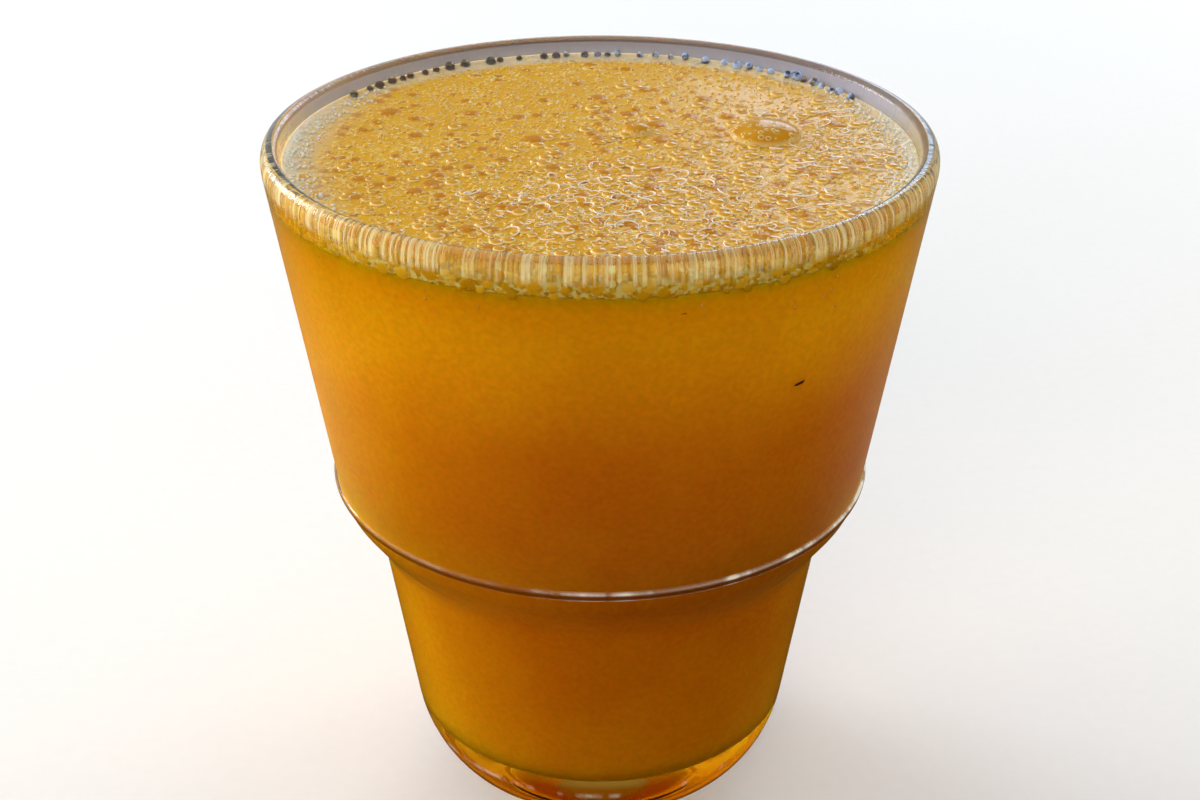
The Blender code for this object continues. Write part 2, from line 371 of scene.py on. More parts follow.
def juice_material():
    """Cloudy orange juice with fine pulp: light sinks in and comes back warmer and deeper. Its colour also
    carries a painted glow at the sides, low down and under the froth.
    """
    look = bpy.context.scene.juice_drink
    material, tree = new_material("cloudy_orange_juice")
    place = add(tree, "TexCoord").outputs["Object"]
    clouds = add(tree, "TexNoise", {"Vector": place, "Scale": 1 / (11 * MM), "Detail": 3.0})
    pulp = add(tree, "TexNoise", {"Vector": place, "Scale": 1 / (0.7 * MM), "Detail": 2.0})
    height = add(tree, "SeparateXYZ", (place,)).outputs["Z"]
    # Painted glow: lighter towards the froth, where light comes down through it
    painted_top_glow = add(
        tree,
        "MapRange",
        (height, JUICE_LEVEL - 29 * MM, JUICE_LEVEL, 0.0, 1.0),
        interpolation_type="SMOOTHERSTEP",
    )
    cloudy = add(tree, "MapRange", (clouds, 0.35, 0.65, -0.1, 0.1))
    # Painted glow: the colour is lighter where light comes through the sides, most at the left, and up from
    # the floor
    flat = add(tree, "VectorMath", (place, (1.0, 1.0, 0.0)), operation="MULTIPLY")
    round_axis = add(tree, "VectorMath", (flat,), operation="NORMALIZE")
    across = add(tree, "SeparateXYZ", (round_axis,))
    across = add(tree, "MapRange", (across.outputs["X"], -1.0))
    sides = add(tree, "ValToRGB", (across,), PAINTED_SIDE_GLOW)
    waning = add(tree, "MapRange", (height, 34 * MM, 50 * MM, 1.0, 0.85))
    sides = add(tree, "Math", (sides, waning), operation="MULTIPLY")
    low = add(tree, "MapRange", (height, 38 * MM, 12 * MM, 0.0, 0.35))
    share = add(tree, "Math", (painted_top_glow, cloudy), operation="ADD")
    share = add(tree, "Math", (share, sides), operation="ADD")
    share = add(tree, "Math", (share, low), operation="ADD", use_clamp=True)
    colour = add(tree, "Mix", (share, look.deep_colour, look.painted_glow_colour), data_type="RGBA")
    # Painted glow: right under the froth the juice is drawn redder, to make up for the red light that else
    # gets lost into the froth
    top = add(tree, "MapRange", (height, JUICE_LEVEL - 6 * MM, JUICE_LEVEL - 1 * MM, 0.0, 0.75))
    colour = add(tree, "Mix", (top, colour, linear("F29602")), data_type="RGBA")
    grain = add(tree, "MapRange", (pulp, 0.3, 0.7, 0.93, 1.07))
    speckled = add(tree, "VectorMath", (colour, grain), operation="SCALE")
    surface = add(
        tree,
        "BsdfPrincipled",
        {
            "Base Color": speckled,
            "Roughness": 0.45,
            "IOR": 1.35,
            "Specular IOR Level": 0.0,
            "Subsurface Weight": 1.0,
            "Subsurface Radius": (1.0, 0.45, 0.06),
            "Subsurface Scale": 8.0 * MM,
        },
    )
    add(tree, "OutputMaterial", (surface,))
    return material


def bubble_layer(tree, place, pitch, radii, share):
    """One size of drawn bubble, scattered through space: how far inside one a point is (0 to 1),
    how near its rim, and the height of its dome in metres."""
    cells = add(tree, "TexVoronoi", {"Vector": place, "Scale": 1 / pitch})
    dice = add(tree, "SeparateColor", (cells.outputs["Color"],))
    radius = add(
        tree,
        "MapRange",
        {"Value": dice.outputs["Red"], "To Min": radii[0] / pitch, "To Max": radii[1] / pitch},
    )
    there = add(tree, "Math", (dice.outputs["Green"], share), operation="LESS_THAN")
    away = add(tree, "Math", (cells.outputs["Distance"], radius), operation="DIVIDE")
    inside = add(tree, "MapRange", (away, 0.75, 1.0, 1.0, 0.0))
    inside = add(tree, "Math", (inside, there), operation="MULTIPLY")
    off = add(tree, "Math", (away, 1.0), operation="SUBTRACT")
    off = add(tree, "Math", (off,), operation="ABSOLUTE")
    rim = add(tree, "MapRange", (off, 0.06, 0.30, 1.0, 0.0))
    rim = add(tree, "Math", (rim, there), operation="MULTIPLY")
    bow = add(tree, "Math", (away, 2.0), operation="POWER")
    bow = add(tree, "Math", (1.0, bow), operation="SUBTRACT")
    bow = add(tree, "Math", (bow, 0.0), operation="MAXIMUM")
    bow = add(tree, "Math", (bow, 0.5), operation="POWER")
    size = add(tree, "Math", (radius, pitch * 0.5), operation="MULTIPLY")
    dome = add(tree, "Math", (bow, size), operation="MULTIPLY")
    dome = add(tree, "Math", (dome, there), operation="MULTIPLY")
    return inside, rim, dome


# How far red, green and blue light travel in froth, against each other
FROTH_DEPTHS = (1.0, 0.55, 0.12)

# Colours of the bubbles on the glass, from those that show the juice behind to the palest
WALL_TONES = (
    (0.00, linear("B6860A")),
    (0.30, linear("CC9C10")),
    (0.75, linear("E0B222")),
    (1.00, linear("F0D468")),
)


def froth_material():
    """Wet juice froth: orange cells with pale rims in a golden crowd of finer bubbles, all wet. The rims'
    paleness is partly painted highlight.
    """
    look = bpy.context.scene.juice_froth
    material, tree = new_material("wet_juice_froth")
    place = add(tree, "TexCoord").outputs["Object"]
    marks = ("bubble_edge", "bubble_cell", "fine_froth", "coarse_froth", "wall_froth", "wall_tone")
    shares = [add(tree, "Attribute", attribute_name=mark).outputs["Fac"] for mark in marks]
    edge, cell, fine, coarse, wall, tone = shares
    # Patches where the bubbles crowd, some 9 mm across
    patches = add(tree, "TexNoise", {"Vector": place, "Scale": 1 / (9 * MM), "Detail": 2.0})
    crowding = add(tree, "MapRange", (patches, 0.4, 0.6, -0.15, 0.2))
    share = add(tree, "Math", (coarse, crowding), operation="ADD")
    medium = bubble_layer(tree, place, 1.7 * MM, (0.40 * MM, 0.80 * MM), share)
    small = bubble_layer(tree, place, 0.75 * MM, (0.16 * MM, 0.34 * MM), 0.8)
    dust = bubble_layer(tree, place, 0.50 * MM, (0.09 * MM, 0.19 * MM), 0.4)
    # Painted highlights: the rims are drawn paler in places, where they would catch the light, so they show
    # as short arcs
    arcs = add(tree, "TexNoise", {"Vector": place, "Scale": 1 / (0.7 * MM), "Detail": 1.0})
    lit = add(tree, "MapRange", (arcs, 0.40, 0.52))
    # The ground between the bubbles, then each size of bubble over it, with its rim
    colour = add(tree, "Mix", (patches, look.gold_colour, look.ground_colour), data_type="RGBA")
    layers = (
        (dust, 0.45, 0.0, look.film_and_highlight_colour),
        (small, 0.55, 0.9, look.cell_colour),
        (medium, 0.9, 1.0, look.cell_colour),
    )
    for (inside, rim, _), depth, bright, middle in layers:
        amount = add(tree, "Math", (inside, depth), operation="MULTIPLY")
        colour = add(tree, "Mix", (amount, colour, middle), data_type="RGBA")
        amount = add(tree, "Math", (rim, bright), operation="MULTIPLY")
        amount = add(tree, "Math", (amount, lit), operation="MULTIPLY")
        colour = add(tree, "Mix", (amount, colour, look.film_and_highlight_colour), data_type="RGBA")
    marked = ((cell, look.cell_colour), (edge, look.film_and_highlight_colour), (fine, look.pale_colour))
    for amount, over in marked:
        colour = add(tree, "Mix", (amount, colour, over), data_type="RGBA")
    # Against the glass: cream, yellow and olive bubbles, with cream arcs of painted highlight where they
    # meet
    toned = add(tree, "ValToRGB", (tone,), WALL_TONES)
    arc = add(tree, "Math", (edge, lit), operation="MULTIPLY")
    against = add(tree, "Mix", (arc, toned, look.wall_rim_highlight_colour), data_type="RGBA")
    colour = add(tree, "Mix", (wall, colour, against), data_type="RGBA")
    height = add(tree, "Math", (medium[2], small[2]), operation="MAXIMUM")
    height = add(tree, "Math", (height, dust[2]), operation="MAXIMUM")
    bump = add(tree, "Bump", {"Height": height, "Strength": 0.8, "Distance": 1.0})
    surface = add(
        tree,
        "BsdfPrincipled",
        {
            "Base Color": colour,
            "Roughness": 0.22,
            "IOR": 1.35,
            "Specular IOR Level": 0.08,
            "Subsurface Weight": 0.5,
            "Subsurface Radius": FROTH_DEPTHS,
            "Subsurface Scale": 0.5 * MM,
            "Normal": bump,
        },
    )
    add(tree, "OutputMaterial", (surface,))
    return material


def film_material():
    """A wet bubble against the glass: clear, with a painted bluish reflection of the window, and bright
    where it mirrors.
    """
    look = bpy.context.scene.juice_froth
    material, tree = new_material("wet_bubble_film")
    place = add(tree, "TexCoord").outputs["Object"]
    swirl = add(tree, "TexNoise", {"Vector": place, "Scale": 1 / (1.3 * MM), "Detail": 2.0})
    tint = add(tree, "Mix", (swirl, look.film_painted_blue, look.film_clear), data_type="RGBA")
    surface = add(
        tree,
        "BsdfPrincipled",
        {"Base Color": tint, "Roughness": 0.02, "IOR": 1.33, "Transmission Weight": 1.0},
    )
    # Painted reflection: those towards the right are drawn filled with the window's blue
    across = add(tree, "SeparateXYZ", (place,)).outputs["X"]
    painted_window_blue = add(tree, "MapRange", (across, -8 * MM, 12 * MM, 0.0, 0.9))
    patch = add(tree, "MapRange", (swirl, 0.42, 0.55))
    painted_window_blue = add(tree, "Math", (painted_window_blue, patch), operation="MULTIPLY")
    lit = add(tree, "BsdfPrincipled", {"Base Color": linear("B4CEFF"), "Roughness": 0.1, "IOR": 1.33})
    surface = add(tree, "MixShader", (painted_window_blue, surface, lit))
    add(tree, "OutputMaterial", (surface,))
    return material


def speck_material():
    """A dark scrap of peel or husk: brown, dull and uneven."""
    material, tree = new_material("dark_husk_speck")
    place = add(tree, "TexCoord").outputs["Object"]
    mottle = add(tree, "TexNoise", {"Vector": place, "Scale": 1 / (0.4 * MM)})
    colour = add(tree, "Mix", (mottle, linear("2A1402"), linear("5A2C05")), data_type="RGBA")
    surface = add(tree, "BsdfPrincipled", {"Base Color": colour, "Roughness": 0.7})
    add(tree, "OutputMaterial", (surface,))
    return material


def stage_material():
    """Matt seamless studio paper: white, with the faintest grain."""
    material, tree = new_material("white_studio_paper")
    place = add(tree, "TexCoord").outputs["Object"]
    grain = add(tree, "TexNoise", {"Vector": place, "Scale": 1 / (2 * MM), "Detail": 3.0})
    colour = add(tree, "Mix", (grain, linear("F4F4F2"), linear("F8F8F7")), data_type="RGBA")
    surface = add(
        tree, "BsdfPrincipled", {"Base Color": colour, "Roughness": 0.9, "Specular IOR Level": 0.1}
    )
    add(tree, "OutputMaterial", (surface,))
    return material


def room_world():
    """The room round the glass: bright towards the windows behind it, and a dark table in front."""
    world = bpy.data.worlds.new("room")
    world.use_nodes = True
    tree = world.node_tree
    tree.nodes.clear()
    direction = add(tree, "TexCoord").outputs["Generated"]
    _, to_back, upwards = add(tree, "SeparateXYZ", (direction,)).outputs
    lift = add(tree, "MapRange", (upwards, -1.0))
    # Colours from straight down to straight up
    stops = (
        (0.00, (0.20, 0.075, 0.010, 1.0)),
        (0.20, (0.10, 0.055, 0.006, 1.0)),
        (0.275, (0.14, 0.095, 0.012, 1.0)),
        (0.31, (0.24, 0.200, 0.130, 1.0)),
        (0.355, (0.36, 0.370, 0.350, 1.0)),
        (0.50, (0.42, 0.460, 0.500, 1.0)),
        (0.70, (0.40, 0.460, 0.540, 1.0)),
        (1.00, (0.30, 0.320, 0.340, 1.0)),
    )
    colour = add(tree, "ValToRGB", (lift,), stops)
    behind = add(tree, "MapRange", (to_back, -0.3, 0.95, 0.03), interpolation_type="SMOOTHSTEP")
    room = add(tree, "Background", (colour, behind))
    paper = add(tree, "Background", (linear("F6F6F5"), 1.0))
    seen = add(tree, "LightPath").outputs["Is Camera Ray"]
    both = add(tree, "MixShader", (seen, room, paper))
    add(tree, "OutputWorld", (both,))
    return world


def metres(name, description, default):
    """A setting that is a length in metres."""
    return FloatProperty(name=name, description=description, default=default, unit="LENGTH")


def corner_at(name, description, default):
    """A setting that is a corner of the profile: its radius from the axis and its height."""
    return FloatVectorProperty(name=name, description=description, size=2, default=default)


def paint(name, description, code):
    """A setting that is a colour."""
    return FloatVectorProperty(
        name=name, description=description, size=4, subtype="COLOR", default=linear(code)
    )


class GlassSettings(bpy.types.PropertyGroup):
    """Sizes and colour of the tumbler. A corner is its radius from the axis and its height."""

    rim_radius: metres("Rim radius", "Outer radius of the lip before it's rounded", 0.0407)
    rim_inner_radius: metres("Mouth radius", "Inner radius of the lip before it's rounded", 0.0383)
    crest_radius: metres("Crest radius", "Where the lip is highest", 0.0391)
    lip_drop: metres("Inner lip rounding", "How far down the inside the lip's rounding ends", 0.0008)
    lip_outer_drop: metres(
        "Outer lip rounding", "How far down the outside the lip's rounding starts", 0.0026
    )
    shoulder: corner_at("Shoulder", "Outer shoulder's corner", (0.0338, 0.0436))
    waist: corner_at("Waist", "Outer waist's corner", (0.0290, 0.0366))
    foot: corner_at("Foot", "Outer foot's corner", (0.0236, 0.0))
    shoulder_round: metres("Shoulder rounding", "Reach of the outer bend", 0.0013)
    ridge_width: metres("Ridge width", "Of the fine ridge round the shoulder", 0.0013)
    ridge_height: metres("Ridge height", "Of the fine ridge round the shoulder", 0.00045)
    waist_round: metres("Waist rounding", "Reach of the outer bend", 0.0016)
    heel_rise: metres("Heel", "Height at which the heel starts to round", 0.0115)
    flat_radius: metres("Flat", "Outer radius of the ring it stands on", 0.0160)
    punt_radius: metres("Punt", "Radius of the dome under the foot", 0.0120)
    punt_depth: metres("Punt depth", "Height of the dome under the foot", 0.0012)
    inner_shoulder: corner_at("Inner shoulder", "Inner shoulder's corner", (0.0312, 0.0462))
    inner_waist: corner_at("Inner waist", "Inner waist's corner", (0.0262, 0.0388))
    inner_floor: corner_at("Inner floor", "Inner floor's corner", (0.0225, 0.0098))
    floor_dip: metres("Floor dip", "How far the inner floor's middle is down", 0.0036)
    inner_shoulder_round: metres("Inner shoulder rounding", "Reach of the bend", 0.0040)
    inner_waist_round: metres("Inner waist rounding", "Reach of the bend", 0.0030)
    floor_round: metres("Floor rounding", "Reach of the bend", 0.0036)
    streak_depth: metres("Streak depth", "Of the fine waves in the lip", 0.00012)
    # The foot's two colours are a painted refraction: the juice as seen through the thick foot
    foot_painted_juice_colour: paint("Foot", "Tint of the foot", "F0B448")
    sole_painted_juice_colour: paint("Middle of the foot", "Its tint", "CC7408")
    glass_colour: paint("Glass", "Tint of the glass", "F6FAF8")


class DrinkSettings(bpy.types.PropertyGroup):
    """Colours of the juice."""

    deep_colour: paint("Deep", "Juice lower down", "CC7605")
    # The airy colour is the painted glow's colour, drawn at the sides, low down and under the froth
    painted_glow_colour: paint("Airy", "Juice under the froth", "E8A60A")


class FrothSettings(bpy.types.PropertyGroup):
    """Sizes and colours of the froth and its bubbles."""

    level: metres("Froth level", "Height of the froth's top", 0.0874)
    cells: IntProperty(
        name="Cells", description="Rows of the froth's top across the glass", default=276, min=20
    )
    seed: IntProperty(name="Seed", description="Seed of the small bubbles", default=11)
    cell_colour: paint("Cells", "Middle of a bubble", "C67E00")
    cap_colour: paint("Caps", "Top of a standing bubble", "D89A00")
    gold_colour: paint("Gold", "Small bubbles", "DCA010")
    ground_colour: paint("Ground", "Finest bubbles", "E8B01E")
    # The films' own pale colour, also used for the painted highlights on the rims
    film_and_highlight_colour: paint("Films", "Where bubbles meet", "FCE49A")
    pale_colour: paint("Edge froth", "Fine froth at the sides", "E2DABC")
    # The cream arcs between bubbles on the glass are painted highlights
    wall_rim_highlight_colour: paint("Wall rims", "Between those", "F4E48C")
    # The film tint is a painted bluish reflection of the window
    film_painted_blue: paint("Film tint", "Deeper part of an edge bubble", "9DB4DC")
    film_clear: paint("Film clear", "Clear part of an edge bubble", "EEF4FF")


class StageSettings(bpy.types.PropertyGroup):
    """The stage, its lights and its camera."""

    distance: metres("Distance", "Camera's distance from the glass's axis", 0.2068)
    height: metres("Height", "Camera's height above the floor", 0.1616)
    pitch: FloatProperty(
        name="Pitch",
        description="How far the camera looks down",
        default=math.radians(27.67),
        subtype="ANGLE",
    )
    lens: FloatProperty(name="Lens", description="Focal length in millimetres", default=54.0)


class JUICE_OT_tumbler(bpy.types.Operator):
    """The tumbler: one smooth wall of glass with a heavy foot"""

    bl_idname = "juice.tumbler"
    bl_label = "Tumbler"

    def execute(self, context):
        sizes = context.scene.juice_glass
        piece = turned("tumbler_glass", outside(sizes) + inside(sizes), GLASS_SIDES, glass_material())
        widest = max(vertex.co.x for vertex in piece.data.vertices)
        for vertex in piece.data.vertices:
            vertex.co.x *= CAD_HIGH.x / widest
            vertex.co.y *= CAD_HIGH.x / widest
        # Lamps reach the drink straight through the wall, which keeps the light on it even
        piece.visible_shadow = False
        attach(piece, BODY)
        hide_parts("tumbler")
        return {"FINISHED"}


class JUICE_OT_juice(bpy.types.Operator):
    """The juice, up to its level under the froth"""

    bl_idname = "juice.juice"
    bl_label = "Juice"

    def execute(self, context):
        sizes = context.scene.juice_glass
        straight = sizes.inner_shoulder[1] + sizes.inner_shoulder_round
        wall = [p for p in reversed(inside(sizes)) if p.y < straight]
        profile = []
        for point in wall:
            reach = min(point.x, INTO_WALL)
            profile.append(Vector((point.x + reach, point.y - INTO_WALL)))
        edge = Vector((wall_radius(sizes, JUICE_LEVEL) + INTO_WALL, JUICE_LEVEL))
        profile += [edge, Vector((0.0, JUICE_LEVEL))]
        piece = turned("juice_body", profile, GLASS_SIDES, juice_material())
        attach(piece, BODY)
        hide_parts("juice")
        return {"FINISHED"}


# The froth's bubbles. The large ones stand where the solids have them, by the same rule.
BIG_BUBBLES = (
    # x, y, radius where it meets the froth, height above it
    (0.0204, 0.0050, 0.0044, 0.0017),
    (0.0046, 0.0062, 0.0019, 0.0011),
)
BUBBLE_COUNT = 84
BUBBLE_RADII = (0.0008, 0.0014)
COARSE_SIDE = Vector((0.45, -0.89))
FINE_SHARE = 0.2
BUBBLE_SHOWS = 0.42
BUBBLE_GAP = 0.0003
BUBBLE_WALL_GAP = 0.0033
BUBBLE_TRIES = 400
BUBBLE_SEED = 7

# The drawn bubbles between them: the larger ones show as cells of their own
CELL_BUBBLES = 160
FILL_CLASSES = ((0.7 * MM, CELL_BUBBLES, 6000), (0.5 * MM, 500, 12000))

# The bubbles pressed flat against the glass: radii, tries, and rows of points down the wall
PRESSED_RADII = (0.3 * MM, 0.4 * MM, 0.5 * MM, 0.65 * MM, 0.85 * MM)
PRESSED_TRIES = 3400
WALL_ROWS = 18


def large_bubbles(sizes, level):
    """Place, radius and height of each large bubble of the froth's top."""
    draw = random.Random(BUBBLE_SEED)
    small, large = BUBBLE_RADII
    reach = wall_radius(sizes, level) - BUBBLE_WALL_GAP
    taken = [(Vector((x, y)), radius) for x, y, radius, _ in BIG_BUBBLES]
    for index in range(BUBBLE_COUNT):
        radius = large + (small - large) * math.sqrt(index / BUBBLE_COUNT)
        for _ in range(BUBBLE_TRIES):
            angle = draw.uniform(0, math.tau)
            out = (reach - radius) * math.sqrt(draw.random())
            place = Vector((out * math.cos(angle), out * math.sin(angle)))
            coarse = (1 + place.dot(COARSE_SIDE) / reach) / 2
            if draw.random() > FINE_SHARE + (1 - FINE_SHARE) * coarse:
                continue
            if all((place - p).length > radius + r + BUBBLE_GAP for p, r in taken):
                taken.append((place, radius))
                break
    scattered = taken[len(BIG_BUBBLES) :]
    return [(p.x, p.y, radius, radius * BUBBLE_SHOWS) for p, radius in scattered]


def fill_disc(bubbles, reach, classes, draw):
    """Adds ever smaller bubbles between those given. A class is a radius, a number and its tries."""
    total = len(bubbles) + sum(count for _, count, _ in classes)
    places = np.zeros((total, 2))
    radii = np.zeros(total)
    for index, (x, y, radius, _) in enumerate(bubbles):
        places[index] = x, y
        radii[index] = radius
    used = len(bubbles)
    found = list(bubbles)
    for size, count, tries in classes:
        made = 0
        for _ in range(tries):
            if made == count:
                break
            radius = size * draw.uniform(0.8, 1.25)
            angle = draw.uniform(0, math.tau)
            out = (reach - 0.5 * radius) * math.sqrt(draw.random())
            spot = np.array((out * math.cos(angle), out * math.sin(angle)))
            apart = np.hypot(*(places[:used] - spot).T)
            if np.all(apart > 0.82 * (radii[:used] + radius)):
                places[used] = spot
                radii[used] = radius
                found.append((*spot, radius, radius * draw.uniform(0.4, 0.65)))
                used += 1
                made += 1
    return found


def crowd(points, bubbles, around=None):
    """The crowd of bubbles over each flat point: its rise, how near it is to where two bubbles
    meet, and which bubble it belongs to. Around is the length after which the points repeat."""
    tree = KDTree(len(points))
    for index, (x, y) in enumerate(points):
        tree.insert((x, y, 0.0), index)
    tree.balance()
    first = np.zeros(len(points))
    second = np.zeros(len(points))
    owner = np.full(len(points), -1)
    shifts = (0.0,) if around is None else (-around, 0.0, around)
    for number, (x, y, radius, height) in enumerate(bubbles):
        for shift in shifts:
            for _, index, apart in tree.find_range((x + shift, y, 0.0), radius):
                rise = height * math.sqrt(1 - (apart / radius) ** 2)
                if rise > first[index]:
                    second[index] = first[index]
                    first[index] = rise
                    owner[index] = number
                elif rise > second[index]:
                    second[index] = rise
    return first, first - second, owner


def disc_grid(cells):
    """A square grid of points mapped onto the unit disc with even cells, row by row."""
    side = np.linspace(-1, 1, cells + 1)
    u, v = np.meshgrid(side, side, indexing="ij")
    wide = np.abs(u) >= np.abs(v)
    safe_u = np.where(u == 0, 1, u)
    safe_v = np.where(v == 0, 1, v)
    radius = np.where(wide, u, v)
    angle = np.where(wide, math.pi / 4 * v / safe_u, math.pi / 2 - math.pi / 4 * u / safe_v)
    return np.stack([radius * np.cos(angle), radius * np.sin(angle)], axis=-1).reshape(-1, 2)


def grid_rim(cells):
    """Indices of the grid's outer points, in order round the disc."""
    row = cells + 1
    first = [i * row for i in range(cells)]
    second = [cells * row + j for j in range(cells)]
    third = [i * row + cells for i in range(cells, 0, -1)]
    fourth = list(range(cells, 0, -1))
    return first + second + third + fourth


class JUICE_OT_froth(bpy.types.Operator):
    """The froth: a crowd of bubbles on top, and flattened bubbles where it leans on the glass"""

    bl_idname = "juice.froth"
    bl_label = "Froth"

    def execute(self, context):
        sizes, look = context.scene.juice_glass, context.scene.juice_froth
        draw = random.Random(look.seed)
        reach = wall_radius(sizes, look.level)
        # The top
        spots = disc_grid(look.cells) * (reach + INTO_WALL)
        large = large_bubbles(sizes, look.level)
        bubbles = fill_disc(large, reach, FILL_CLASSES, draw)
        rise, to_edge, owner = crowd(spots, bubbles)
        out = np.hypot(*spots.T)
        around = np.arctan2(spots[:, 1], spots[:, 0])
        # The froth climbs the glass, most at the left and the back
        climb = (0.45 - 0.15 * np.cos(around + 0.6)) * MM
        climb = climb * np.exp(-(reach - np.minimum(out, reach)) / (0.8 * MM))
        for x, y, radius, _ in BIG_BUBBLES:
            under = np.hypot(spots[:, 0] - x, spots[:, 1] - y) < radius
            rise[under] *= 0.3
        heights = look.level + 0.45 * rise + climb
        top = np.column_stack([spots, heights])
        inside = (owner >= 0) & (owner < len(large) + CELL_BUBBLES)
        cell = np.where(inside, np.clip(to_edge / (0.25 * MM), 0, 1), 0) * 0.9
        edge = np.where(owner >= 0, np.exp(-(((to_edge - 0.06 * MM) / (0.07 * MM)) ** 2)), 0) * 0.8
        coarse = (spots @ np.array(COARSE_SIDE)) / reach
        share = np.clip(0.30 + 0.35 * coarse, 0.04, 0.7)
        sides = np.clip((np.abs(spots[:, 0]) / reach - 0.70) / 0.28, 0, 1)
        fine = sides * np.clip((out / reach - 0.82) / 0.15, 0, 1)
        behind = np.clip(spots[:, 1] / reach, 0, 1) * np.clip((out / reach - 0.92) / 0.04, 0, 1)
        fine = np.maximum(fine, behind)
        # The wall: points along the rim and down it
        rim = grid_rim(look.cells)
        columns = len(rim)
        angles = np.arctan2(spots[rim, 1], spots[rim, 0])
        length = math.tau * reach
        levels = np.linspace(0, 1, WALL_ROWS + 1)[1:]
        low = JUICE_LEVEL - 1.1 * MM
        along = np.unwrap(angles) * reach
        along = along - along[0]
        rim_heights = heights[rim]
        wall_points = []
        wall_heights = []
        for level in levels:
            height = rim_heights + (low - rim_heights) * level
            wall_heights.append(height)
            wall_points.append(np.column_stack([along, height]))
        wall_points = np.concatenate(wall_points)
        wall_heights = np.concatenate(wall_heights)
        pressed = []
        for _ in range(PRESSED_TRIES):
            radius = draw.choice(PRESSED_RADII) * draw.uniform(0.85, 1.15)
            s = draw.uniform(0, length)
            lowest = JUICE_LEVEL - 0.3 * MM + 0.4 * radius
            h = draw.uniform(lowest, look.level + 0.5 * MM)
            near = (
                math.hypot(min(abs(s - a), length - abs(s - a)), h - b) > 0.8 * (radius + r)
                for a, b, r, _ in pressed
            )
            if all(near):
                pressed.append((s, h, radius, radius * 0.8))
        press, wall_edge, wall_owner = crowd(wall_points, pressed, length)
        # Between the bubbles the juice reaches the glass below its level, and froth does above it
        above = np.clip((wall_heights - JUICE_LEVEL) / (0.2 * MM) + 0.5, 0, 1)
        depth = (0.45 - 0.33 * above) * MM
        flat = np.minimum(press / (0.3 * MM), 1.0)
        wall_r = wall_radius(sizes, wall_heights) + 1.3 * INTO_WALL - depth * (1 - flat)
        wall_angle = np.tile(angles, len(levels))
        wall = np.column_stack([wall_r * np.cos(wall_angle), wall_r * np.sin(wall_angle), wall_heights])
        # One closed mesh: the top, the wall and a flat bottom
        points = np.concatenate([top, wall, [[0.0, 0.0, low]]])
        faces = []
        row = look.cells + 1
        for i in range(look.cells):
            for j in range(look.cells):
                corner = i * row + j
                faces.append((corner, corner + row, corner + row + 1, corner + 1))
        rings = [rim] + [[len(top) + k * columns + c for c in range(columns)] for k in range(len(levels))]
        for upper, lower in zip(rings, rings[1:]):
            for c in range(columns):
                d = (c + 1) % columns
                faces.append((upper[c], lower[c], lower[d], upper[d]))
        centre = len(points) - 1
        for c in range(columns):
            faces.append((rings[-1][c], centre, rings[-1][(c + 1) % columns]))
        mesh = bpy.data.meshes.new("froth_field")
        mesh.from_pydata(points.tolist(), [], faces)
        wall_rim = np.exp(-((wall_edge / (0.12 * MM)) ** 2)) * 0.9
        tones = np.array([draw.random() for _ in pressed] + [0.1])
        tone = np.clip(tones[wall_owner] * 0.7 + 0.35 * (wall_heights - JUICE_LEVEL) / (2.0 * MM), 0, 1)
        values = {
            "bubble_edge": np.concatenate([edge, wall_rim, [0.0]]),
            "bubble_cell": np.concatenate([cell, 0.8 * flat, [0.0]]),
            "fine_froth": np.concatenate([0.8 * fine, np.full(len(wall), 0.0), [0.0]]),
            "coarse_froth": np.concatenate([share, np.full(len(wall), 0.0), [0.0]]),
            "wall_froth": np.concatenate([np.zeros(len(top)), np.ones(len(wall)), [1.0]]),
            "wall_tone": np.concatenate([np.full(len(top), 0.9), tone, [0.0]]),
        }
        for name, numbers in values.items():
            attribute = mesh.attributes.new(name, "FLOAT", "POINT")
            attribute.data.foreach_set("value", numbers.astype(np.float32))
        mesh.shade_smooth()
        piece = linked("froth_field", mesh, froth_material())
        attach(piece, BODY)
        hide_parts("froth")
        return {"FINISHED"}


def ball(tree):
    """A bubble of radius 1 with few faces."""
    return add(tree, "GeometryNodeMeshUVSphere", {"Segments": 12, "Rings": 5, "Radius": 1.0})


def strand(tree):
    """A thin arc of film, of radius 1."""
    arc = add(
        tree, "GeometryNodeCurveArc", {"Resolution": 11, "Radius": 1.0, "Sweep Angle": math.radians(215)}
    )
    around = add(tree, "GeometryNodeCurvePrimitiveCircle", {"Resolution": 4, "Radius": 0.085})
    return add(tree, "GeometryNodeCurveToMesh", {"Curve": arc, "Profile Curve": around, "Fill Caps": True})


